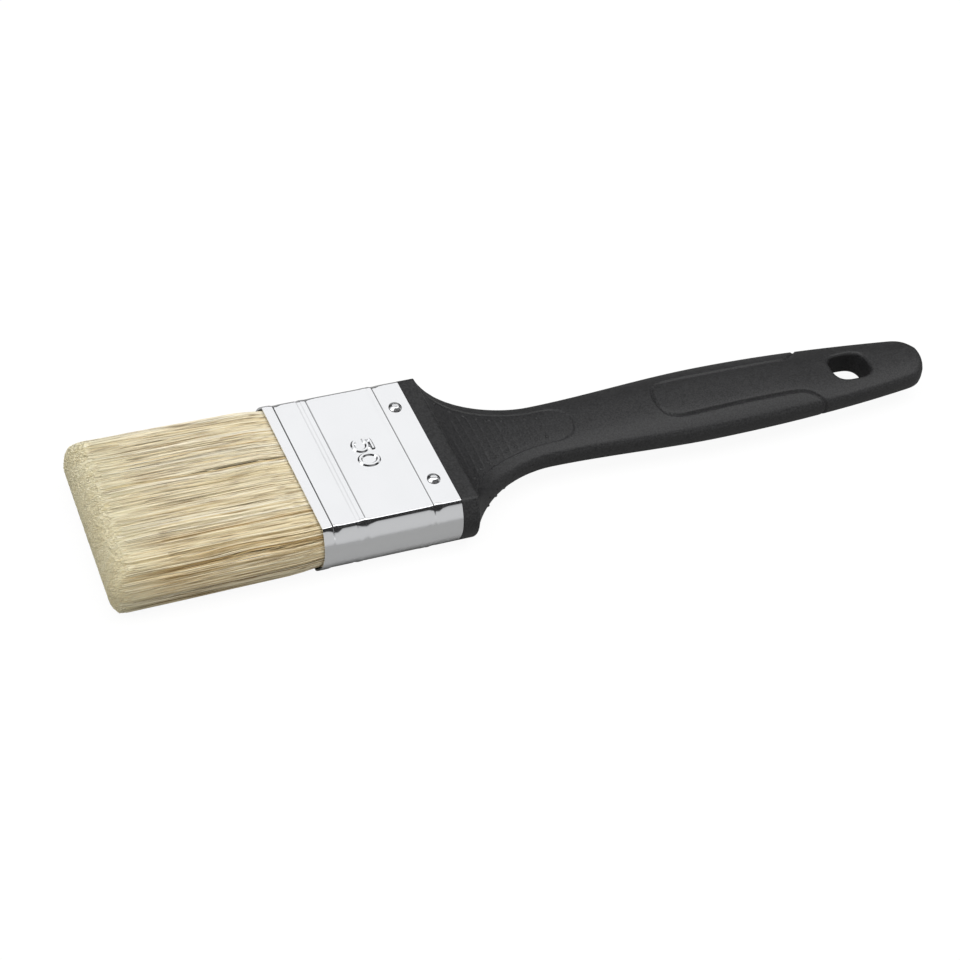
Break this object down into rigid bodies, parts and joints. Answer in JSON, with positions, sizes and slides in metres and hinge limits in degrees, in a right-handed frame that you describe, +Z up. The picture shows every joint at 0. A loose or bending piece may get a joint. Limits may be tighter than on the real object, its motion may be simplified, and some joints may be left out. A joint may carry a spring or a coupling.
{
  "type": "flat paint brush",
  "caption": "Flat paint brush: waisted moulded plastic grip with a hanging hole, bright steel ferrule with raised beads and domed nails, and straight pale natural bristles.",
  "frame": {"origin": "middle of the underside of the box round the brush, which lies on its broad face", "axes": "+X along the brush from the bristle tips to the hanging hole, +Y across its width, +Z up through its thickness"},
  "size_m": [0.2366, 0.051, 0.0169],
  "materials": {
    "handle_plastic": "fine-grained satin black moulding",
    "ferrule_steel": "bright rolled steel, pressed beads",
    "nail_steel": "bright domed head",
    "setting_resin": "cast, hard, amber brown",
    "filler_wood": "planed, uncoated",
    "natural_bristle": "straw-coloured hog bristle with paler flagged tips"
  },
  "bodies": {
    "root": {"handle": "handle_plastic", "ferrule": "ferrule_steel", "nail_upper_left": "nail_steel", "nail_upper_right": "nail_steel", "nail_lower_left": "nail_steel", "nail_lower_right": "nail_steel", "resin_set": "setting_resin", "filler_strip": "filler_wood", "bristle_row_upper": "natural_bristle", "bristle_row_lower": "natural_bristle"}
  },
  "joints": []
}
